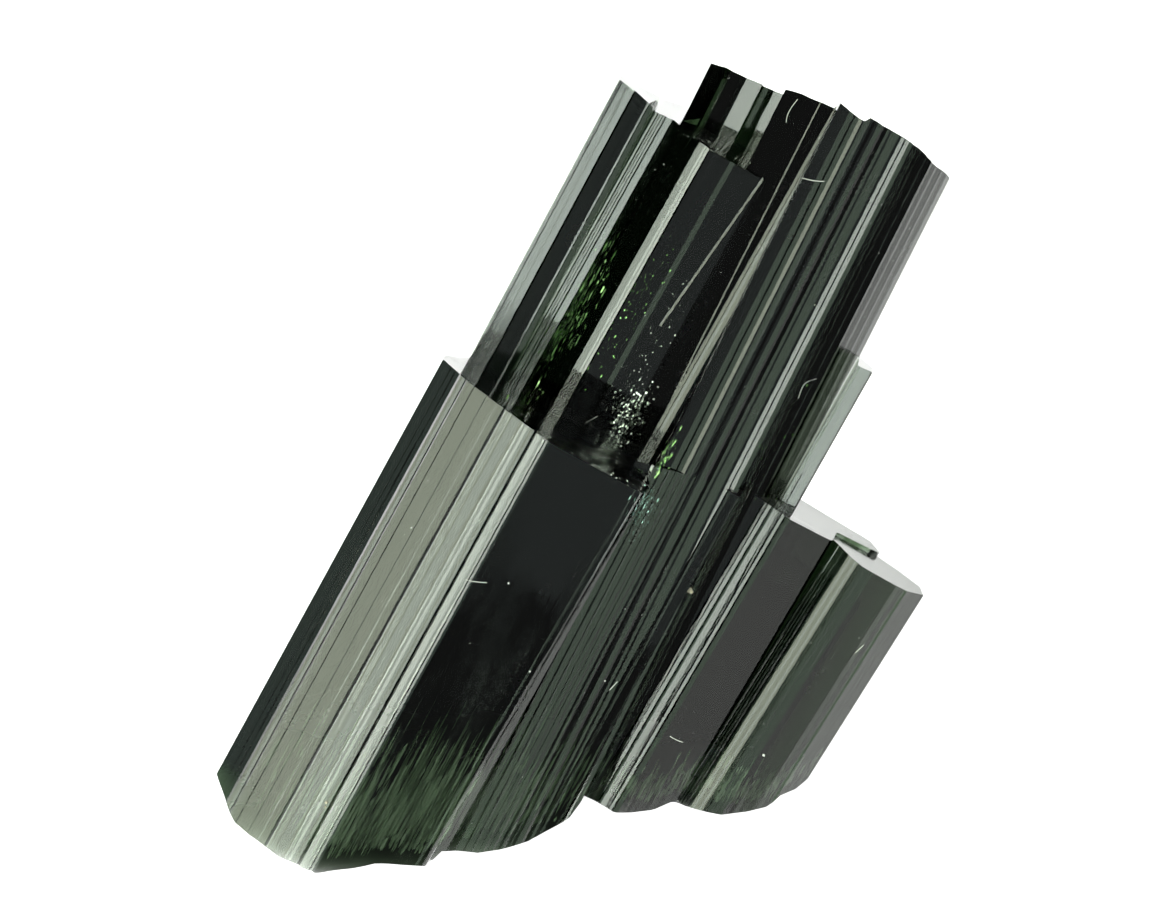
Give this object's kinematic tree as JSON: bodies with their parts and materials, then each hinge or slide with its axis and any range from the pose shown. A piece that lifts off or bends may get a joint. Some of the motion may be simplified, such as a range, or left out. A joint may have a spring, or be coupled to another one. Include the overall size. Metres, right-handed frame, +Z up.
{
  "type": "tourmaline crystal",
  "caption": "Dark green tourmaline specimen: striated prisms grown together side by side, flat stepped tops, leaning on a broken base.",
  "frame": {"origin": "the middle of the box around the specimen, at the level of the surface that it stands on", "axes": "+Z up; the crystal axis leans 32 degrees from +Z, towards +X and a little +Y; -Y is the side with the big front prism"},
  "size_m": [0.0244, 0.0178, 0.025],
  "materials": {
    "green_tourmaline": "vitreous, near-black green where thick, translucent green at thin edges"
  },
  "bodies": {
    "root": {"tourmaline_cluster": "green_tourmaline"}
  },
  "joints": []
}
